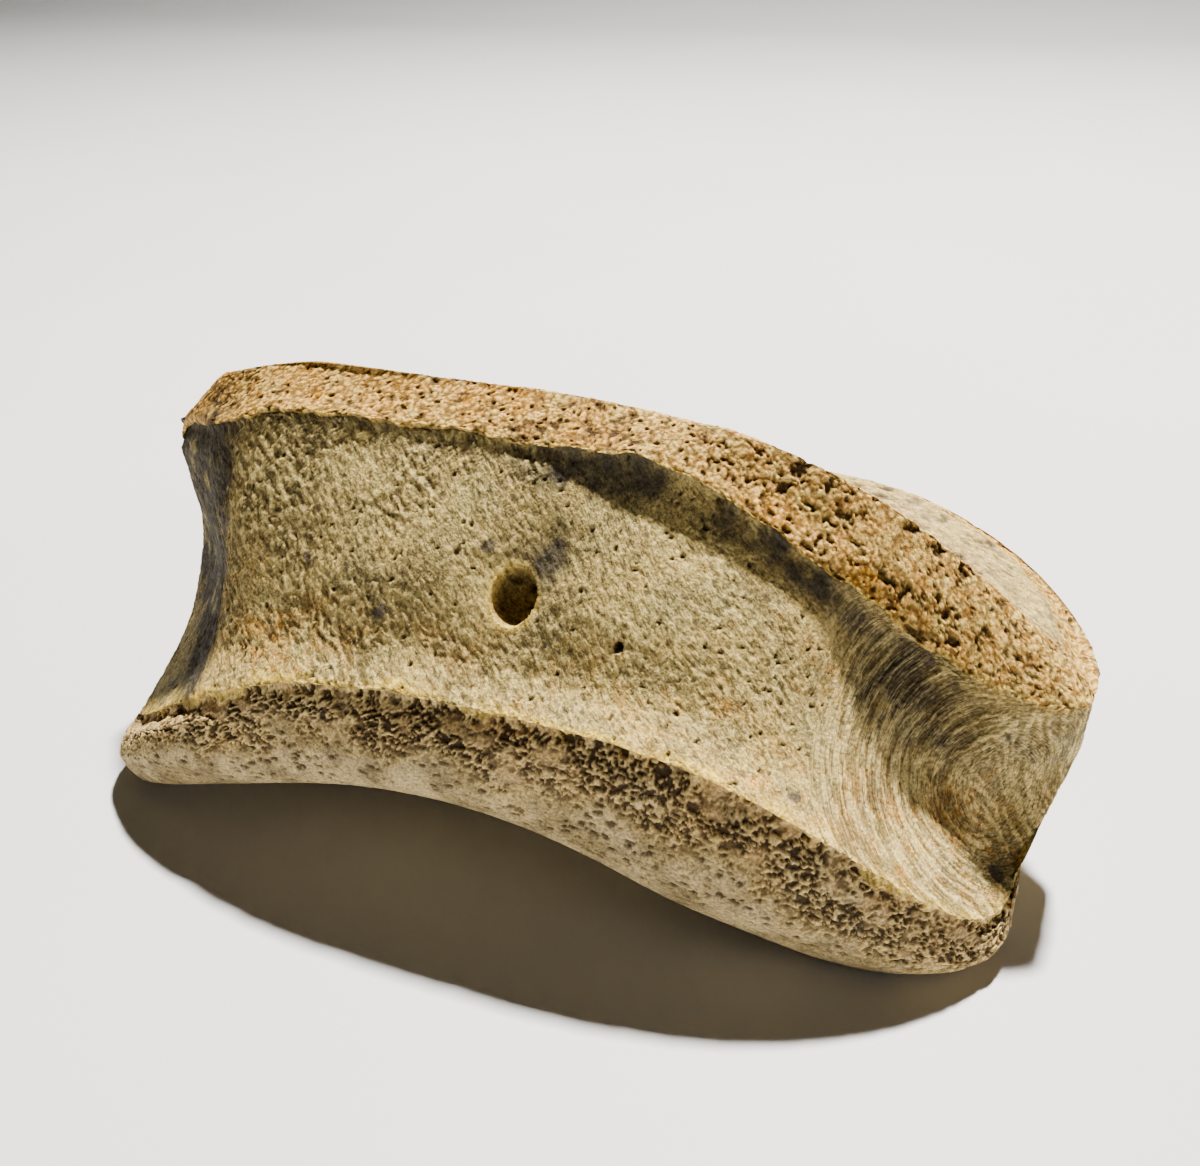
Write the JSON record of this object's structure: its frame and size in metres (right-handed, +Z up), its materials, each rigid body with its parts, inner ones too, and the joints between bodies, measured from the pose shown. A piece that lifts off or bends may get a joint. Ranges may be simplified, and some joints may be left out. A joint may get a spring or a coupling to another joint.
{
  "type": "fossil toe bone",
  "caption": "Life-size fossil toe bone of a large plant-eating dinosaur: a short, wide joint with a rolled lower end, a hollow waist and a dished upper end.",
  "frame": {"origin": "middle of the bone's extent in X and Y, at the surface it rests on", "axes": "+Z up, +X along the bone's width towards the end with the pit in its side, -Y towards the hollow near face with the small opening"},
  "size_m": [0.1303, 0.0644, 0.059],
  "materials": {
    "fossil_bone": "matte, pitted"
  },
  "bodies": {
    "root": {"toe_bone": "fossil_bone"}
  },
  "joints": []
}
